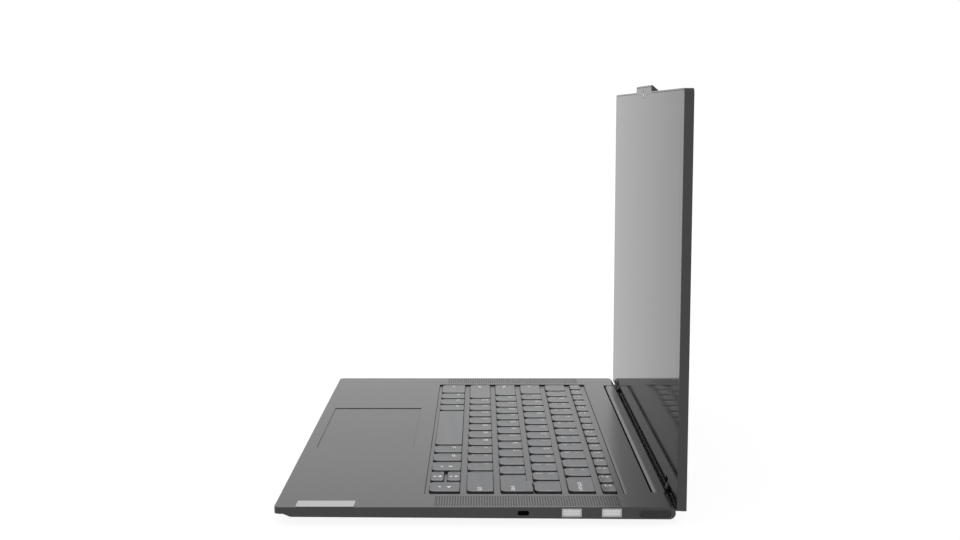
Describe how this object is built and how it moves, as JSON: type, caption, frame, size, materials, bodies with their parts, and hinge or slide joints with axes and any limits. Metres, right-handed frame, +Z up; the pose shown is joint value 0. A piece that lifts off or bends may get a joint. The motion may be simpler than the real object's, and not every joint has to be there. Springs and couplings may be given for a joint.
{
  "type": "laptop computer",
  "caption": "Slim clamshell laptop computer with a full keyboard, trackpad, side sockets, internal cooling and a glass-fronted screen lid on two friction hinges.",
  "frame": {"origin": "middle of the footprint with the lid upright, on the table plane under the feet", "axes": "+X to the user's right along the hinge, +Y from the user towards the hinge, +Z up"},
  "size_m": [0.3206, 0.205, 0.2193],
  "materials": {
    "shell": "bead-blasted and anodised, slate grey, satin",
    "keycaps": "fine matte keycap coating, blue-grey",
    "membrane": "milky film",
    "steel": "stamped and nickel plated",
    "black_steel": "stamped, blackened",
    "trackpad": "satin etched glass, slate grey",
    "grille": "pierced sheet in the shell colour",
    "black_plastic": "moulded, fine texture",
    "badge": "polished plate, blank",
    "hinge_bar": "satin moulded cover",
    "socket_metal": "drawn sheet, plated",
    "socket_tongue": "light grey insulator",
    "vent": "moulded louvres",
    "rubber_foot": "soft, matte",
    "battery": "shrink-wrapped pouch cells",
    "circuit_board": "solder mask with parts",
    "copper": "bare copper",
    "display_glass": "full-face cover glass, dark behind, glossy"
  },
  "bodies": {
    "base": {"deck_cover": "shell", "bottom_cover": "shell", "keyboard_frame": "shell", "keyboard_membrane": "membrane", "keyboard_backplate": "steel", "trackpad_bracket": "steel", "speaker_grille_right": "grille", "speaker_right": "black_plastic", "speaker_grille_left": "grille", "speaker_left": "black_plastic", "badge_plate": "badge", "hinge_cover_bar": "hinge_bar", "usb_a_shell_front": "socket_metal", "usb_a_tongue_front": "socket_tongue", "usb_a_shell_rear": "socket_metal", "usb_a_tongue_rear": "socket_tongue", "side_vent_right": "vent", "side_vent_left": "vent", "hdmi_socket": "socket_metal", "usb_c_socket_front": "socket_metal", "usb_c_socket_rear": "socket_metal", "audio_socket": "black_plastic", "front_foot": "rubber_foot", "rear_foot": "rubber_foot", "battery_pack": "battery", "mainboard": "circuit_board", "heatsink": "copper", "ssd": "circuit_board", "wifi_card": "circuit_board", "fan_housing_right": "black_plastic", "hinge_base_bracket_right": "black_steel", "fan_housing_left": "black_plastic", "hinge_base_bracket_left": "black_steel"},
    "trackpad_body": {"trackpad": "trackpad"},
    "power_button_body": {"power_button": "black_plastic"},
    "fan_rotor_right_body": {"fan_rotor_right": "black_plastic"},
    "fan_rotor_left_body": {"fan_rotor_left": "black_plastic"},
    "lid": {"lid_cover": "shell", "display_glass": "display_glass", "display_panel": "black_plastic", "camera_module": "circuit_board", "display_cable": "black_plastic", "hinge_lid_bracket_right": "black_steel", "hinge_lid_bracket_left": "black_steel", "hinge_pin_right": "steel", "hinge_pin_left": "steel"},
    "keys_function_row_body": {"keys_function_row": "keycaps"},
    "keys_number_row_body": {"keys_number_row": "keycaps"},
    "keys_tab_row_body": {"keys_tab_row": "keycaps"},
    "keys_home_row_body": {"keys_home_row": "keycaps"},
    "keys_shift_row_body": {"keys_shift_row": "keycaps"},
    "keys_left_modifiers_body": {"keys_left_modifiers": "keycaps"},
    "keys_space_bar_body": {"keys_space_bar": "keycaps"},
    "keys_right_modifiers_body": {"keys_right_modifiers": "keycaps"},
    "keys_enter_body": {"keys_enter": "keycaps"},
    "keys_arrows_body": {"keys_arrows": "keycaps"}
  },
  "joints": [
    {"name": "lid_hinge", "type": "hinge", "parent": "base", "child": "lid", "pos_m": [0, 0.1, 0.0126], "axis": [1, 0, 0], "range_deg": [-40, 90]},
    {"name": "press_function_row", "type": "slide", "parent": "base", "child": "keys_function_row_body", "axis": [0, 0, -1], "range_m": [0, 0.0012], "stiffness_N_per_m": 5600, "springref_m": -0.0006},
    {"name": "press_number_row", "type": "slide", "parent": "base", "child": "keys_number_row_body", "axis": [0, 0, -1], "range_m": [0, 0.0012], "stiffness_N_per_m": 4900, "springref_m": -0.0006},
    {"name": "press_tab_row", "type": "slide", "parent": "base", "child": "keys_tab_row_body", "axis": [0, 0, -1], "range_m": [0, 0.0012], "stiffness_N_per_m": 4900, "springref_m": -0.0006},
    {"name": "press_home_row", "type": "slide", "parent": "base", "child": "keys_home_row_body", "axis": [0, 0, -1], "range_m": [0, 0.0012], "stiffness_N_per_m": 4200, "springref_m": -0.0006},
    {"name": "press_shift_row", "type": "slide", "parent": "base", "child": "keys_shift_row_body", "axis": [0, 0, -1], "range_m": [0, 0.0012], "stiffness_N_per_m": 4200, "springref_m": -0.0006},
    {"name": "press_left_modifiers", "type": "slide", "parent": "base", "child": "keys_left_modifiers_body", "axis": [0, 0, -1], "range_m": [0, 0.0012], "stiffness_N_per_m": 1400, "springref_m": -0.0006},
    {"name": "press_space_bar", "type": "slide", "parent": "base", "child": "keys_space_bar_body", "axis": [0, 0, -1], "range_m": [0, 0.0012], "stiffness_N_per_m": 350, "springref_m": -0.0006},
    {"name": "press_right_modifiers", "type": "slide", "parent": "base", "child": "keys_right_modifiers_body", "axis": [0, 0, -1], "range_m": [0, 0.0012], "stiffness_N_per_m": 700, "springref_m": -0.0006},
    {"name": "press_enter", "type": "slide", "parent": "base", "child": "keys_enter_body", "axis": [0, 0, -1], "range_m": [0, 0.0012], "stiffness_N_per_m": 350, "springref_m": -0.0006},
    {"name": "press_arrows", "type": "slide", "parent": "base", "child": "keys_arrows_body", "axis": [0, 0, -1], "range_m": [0, 0.0012], "stiffness_N_per_m": 1400, "springref_m": -0.0006},
    {"name": "trackpad_click", "type": "hinge", "parent": "base", "child": "trackpad_body", "pos_m": [0, -0.039, 0.00865], "axis": [1, 0, 0], "range_deg": [0, 0.4], "stiffness_Nm_per_rad": 4.5, "springref_deg": -1.15},
    {"name": "power_button_press", "type": "slide", "parent": "base", "child": "power_button_body", "axis": [-1, 0, 0], "range_m": [0, 0.0004], "stiffness_N_per_m": 900, "springref_m": -0.0005},
    {"name": "fan_spin_right", "type": "hinge", "parent": "base", "child": "fan_rotor_right_body", "pos_m": [0.096, 0.0505, 0.0036], "axis": [0, 0, 1], "continuous": true},
    {"name": "fan_spin_left", "type": "hinge", "parent": "base", "child": "fan_rotor_left_body", "pos_m": [-0.096, 0.0505, 0.0036], "axis": [0, 0, 1], "continuous": true}
  ]
}
